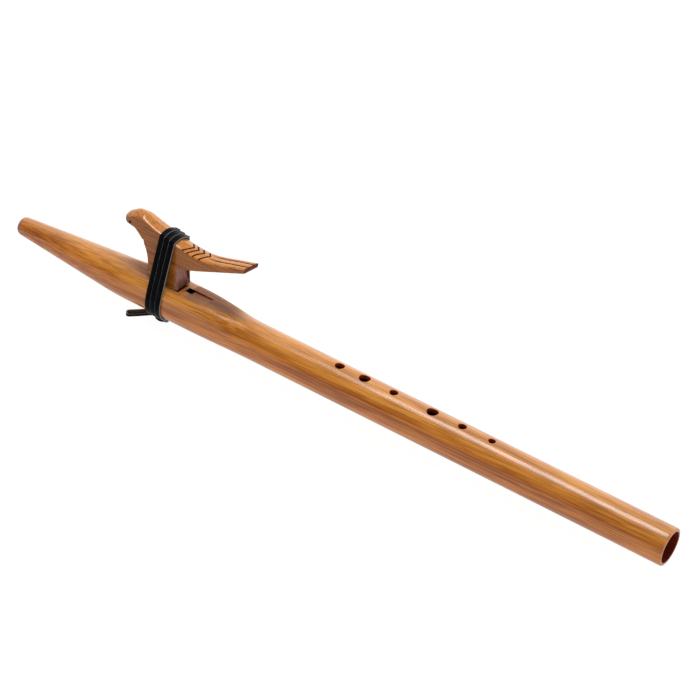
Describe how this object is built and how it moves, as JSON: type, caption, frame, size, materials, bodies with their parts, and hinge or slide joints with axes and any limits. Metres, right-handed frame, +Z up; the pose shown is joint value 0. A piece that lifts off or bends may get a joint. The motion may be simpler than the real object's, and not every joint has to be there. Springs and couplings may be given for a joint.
{
  "type": "native american flute",
  "caption": "Six-hole wooden love flute with a tapered mouth end, a raised nest, a carved bird block over the flue and a wound leather lace that ties the block down.",
  "frame": {"origin": "centre of the box around the whole flute, 23 mm above the bore axis and half the length from the mouth end", "axes": "+X from the mouth end to the foot along the bore, +Z up through the finger holes and the bird, +Y across"},
  "size_m": [0.6344, 0.0392, 0.0946],
  "materials": {
    "body_wood": "oiled, semi-gloss, straight grain",
    "bird_wood": "oiled, satin, flecked open grain",
    "lace_leather": "black grain side, dark brown suede side"
  },
  "bodies": {
    "body": {"body_upper_half": "body_wood", "body_lower_half": "body_wood"},
    "block": {"bird_block": "bird_wood", "lace_winding": "lace_leather", "lace_knot": "lace_leather", "lace_bight": "lace_leather", "lace_end": "lace_leather"}
  },
  "joints": [
    {"name": "block_slide", "type": "slide", "parent": "body", "child": "block", "axis": [1, 0, 0], "range_m": [-0.003, 0.003]}
  ]
}
